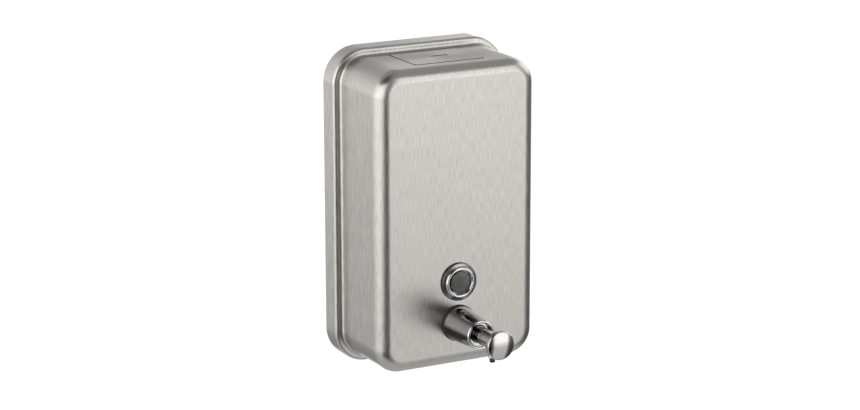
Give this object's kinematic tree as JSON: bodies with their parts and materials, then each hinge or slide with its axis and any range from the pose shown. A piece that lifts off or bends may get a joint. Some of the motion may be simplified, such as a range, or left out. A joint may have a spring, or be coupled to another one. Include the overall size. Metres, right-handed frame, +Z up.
{
  "type": "wall mounted soap dispenser",
  "caption": "Wall-hung upright steel soap dispenser with a locking filler lid on top, a round sight window and a horizontal push valve with a downward spout.",
  "frame": {"origin": "middle of the wall plate's back face, on the wall, at the middle of the body's height", "axes": "+X to the right as one faces it, +Y into the wall, +Z up"},
  "size_m": [0.122, 0.122, 0.2075],
  "materials": {
    "brushed_steel": "vertical satin brushing",
    "plain_steel": "plain mill finish",
    "chrome": "polished chrome plate",
    "rubber": "matt black",
    "acetal": "moulded off-white",
    "black_nylon": "moulded black",
    "acrylic": "clear polished"
  },
  "bodies": {
    "tank": {"front_shell": "brushed_steel", "back_panel": "plain_steel", "rail_left": "plain_steel", "rail_right": "plain_steel", "wall_plate": "plain_steel", "lock_screw": "plain_steel", "lid_seat": "plain_steel", "hinge_pin": "plain_steel", "window_gasket": "rubber", "window_bezel": "chrome", "window_lens": "acrylic", "lens_seal": "rubber", "window_washer": "rubber", "window_nut": "black_nylon", "valve_gasket": "rubber", "valve_collar": "chrome", "valve_barrel": "acetal", "guide_bush": "chrome", "tank_washer": "rubber", "barrel_nut": "black_nylon", "return_spring": "plain_steel", "inlet_elbow": "acetal", "intake_tube": "acetal"},
    "lid": {"filler_lid": "brushed_steel", "latch_guide": "plain_steel", "latch_spring": "plain_steel"},
    "bolt": {"latch_bolt": "plain_steel"},
    "plunger": {"push_button": "chrome", "nozzle_tip": "black_nylon", "plunger_stem": "chrome", "piston": "acetal", "piston_seal": "rubber", "outlet_spring": "plain_steel"},
    "outlet_check": {"outlet_ball": "plain_steel"},
    "inlet_check": {"inlet_ball": "plain_steel"}
  },
  "joints": [
    {"name": "press", "type": "slide", "parent": "tank", "child": "plunger", "axis": [0, 1, 0], "range_m": [0, 0.0105], "stiffness_N_per_m": 500, "springref_m": -0.008, "deforming": ["return_spring"]},
    {"name": "lid_hinge", "type": "hinge", "parent": "tank", "child": "lid", "pos_m": [0, -0.0212, 0.0951], "axis": [-1, 0, 0], "range_deg": [0, 95]},
    {"name": "latch_slide", "type": "slide", "parent": "lid", "child": "bolt", "axis": [0, 1, 0], "range_m": [0, 0.003], "stiffness_N_per_m": 300, "springref_m": -0.002, "deforming": ["latch_spring"]},
    {"name": "outlet_check_lift", "type": "slide", "parent": "plunger", "child": "outlet_check", "axis": [0, -1, 0], "range_m": [0, 0.0012], "stiffness_N_per_m": 60, "springref_m": -0.001, "deforming": ["outlet_spring"]},
    {"name": "inlet_check_lift", "type": "slide", "parent": "tank", "child": "inlet_check", "axis": [0, 0, 1], "range_m": [0, 0.0015]}
  ]
}
